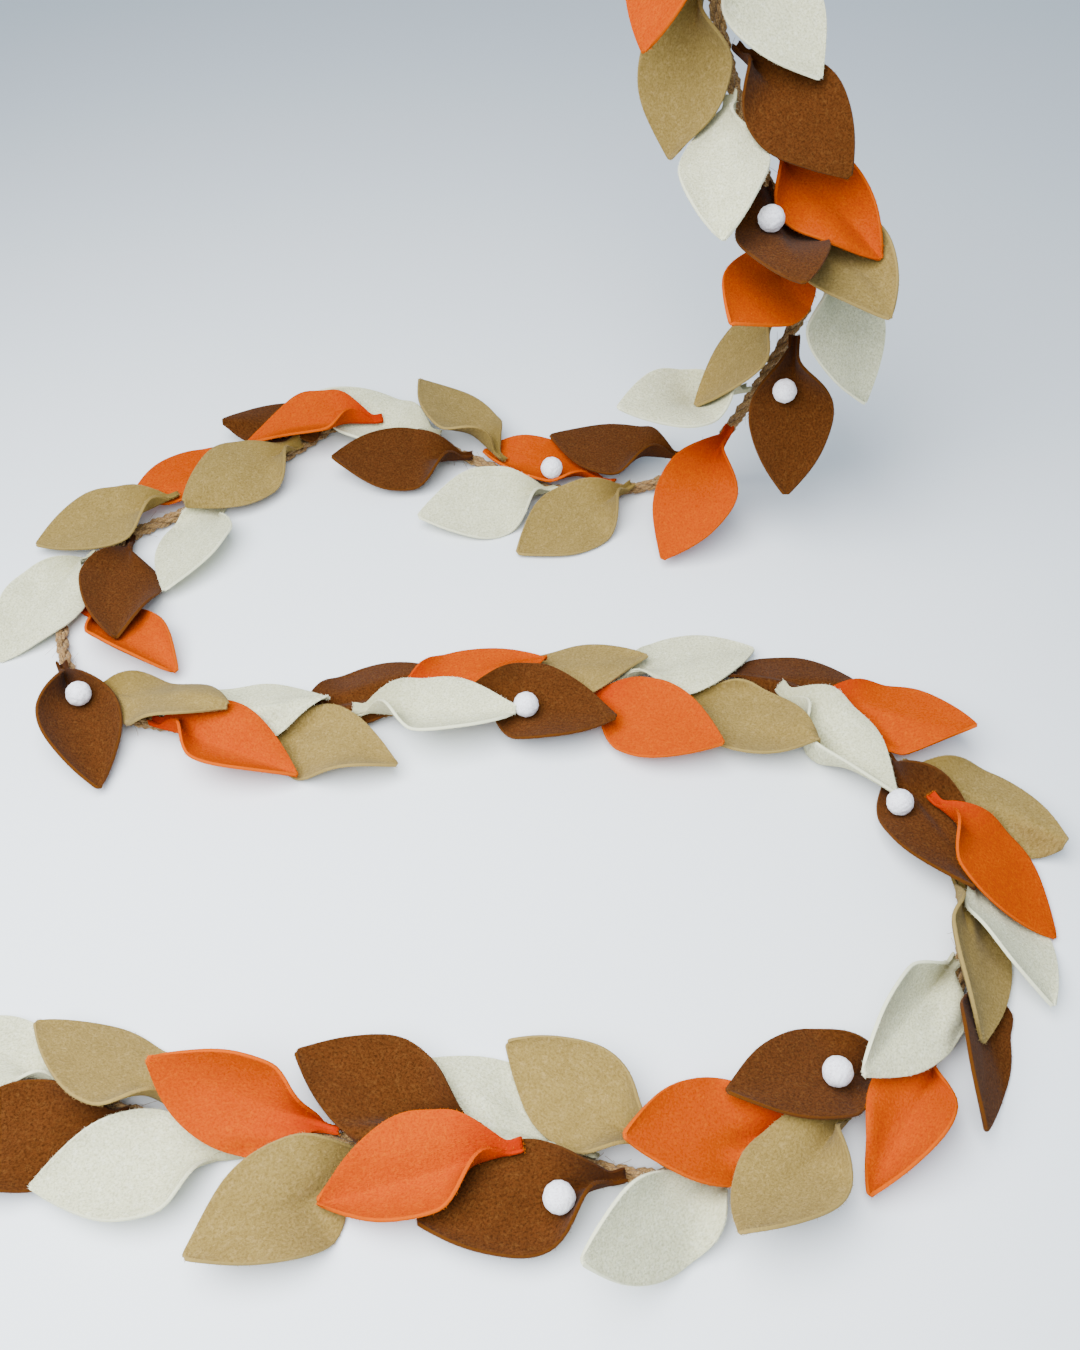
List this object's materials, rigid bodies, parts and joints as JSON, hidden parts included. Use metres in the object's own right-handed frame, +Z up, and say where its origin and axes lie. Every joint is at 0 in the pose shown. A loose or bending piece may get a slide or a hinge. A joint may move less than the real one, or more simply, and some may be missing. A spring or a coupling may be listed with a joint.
{
  "type": "felt leaf garland",
  "caption": "Garland of pinched felt leaves with small felt balls along a jute rope, hung from one end and laid in a double S on a surface.",
  "frame": {"origin": "centre of the rope at its held end, where the garland hangs", "axes": "+Z up; +X to the right and +Y away, as seen from the open side of its S, so the bends of the rope run along X"},
  "size_m": [0.4951, 0.4844, 0.3134],
  "materials": {
    "orange_felt": "bright orange felt, matt and slightly fuzzy",
    "brown_felt": "chestnut brown felt, mottled and matt",
    "tan_felt": "tan felt, mottled and matt",
    "white_felt": "ivory white felt, matt",
    "ball_felt": "white felted ball, matt",
    "jute_rope": "natural jute fibre, twisted and matt"
  },
  "bodies": {
    "root": {"jute_rope": "jute_rope", "leaf_1": "orange_felt", "leaf_2": "white_felt", "leaf_3": "tan_felt", "leaf_4": "brown_felt", "leaf_5": "white_felt", "leaf_6": "orange_felt", "leaf_7": "brown_felt", "leaf_8": "tan_felt", "leaf_9": "orange_felt", "leaf_10": "white_felt", "leaf_11": "tan_felt", "leaf_12": "brown_felt", "leaf_13": "white_felt", "leaf_14": "orange_felt", "leaf_15": "brown_felt", "leaf_16": "tan_felt", "sprig_17_18": "orange_felt", "sprig_19_20": "tan_felt", "leaf_21": "white_felt", "leaf_22": "orange_felt", "sprig_23_24": "brown_felt", "sprig_25_26": "orange_felt", "leaf_27": "tan_felt", "leaf_28": "brown_felt", "sprig_29_30": "white_felt", "leaf_31": "brown_felt", "leaf_32": "tan_felt", "sprig_33_34": "orange_felt", "sprig_35_36": "tan_felt", "sprig_37_38": "white_felt", "sprig_39_40": "brown_felt", "sprig_41_42": "orange_felt", "sprig_43_44": "tan_felt", "sprig_45_46": "white_felt", "sprig_47_48": "brown_felt", "sprig_49_50": "orange_felt", "sprig_51_52": "tan_felt", "sprig_53_54": "white_felt", "sprig_55_56": "brown_felt", "leaf_57": "orange_felt", "leaf_58": "white_felt", "leaf_59": "tan_felt", "leaf_60": "brown_felt", "leaf_61": "white_felt", "leaf_62": "orange_felt", "leaf_63": "brown_felt", "leaf_64": "tan_felt", "sprig_65_66": "orange_felt", "sprig_67_68": "tan_felt", "sprig_69_70": "white_felt", "ball_on_leaf_7": "ball_felt", "ball_on_leaf_12": "ball_felt", "ball_on_leaf_17": "ball_felt", "ball_on_leaf_23": "ball_felt", "ball_on_leaf_31": "ball_felt", "ball_on_leaf_39": "ball_felt", "ball_on_leaf_47": "ball_felt", "ball_on_leaf_55": "ball_felt", "ball_on_leaf_60": "ball_felt"}
  },
  "joints": []
}
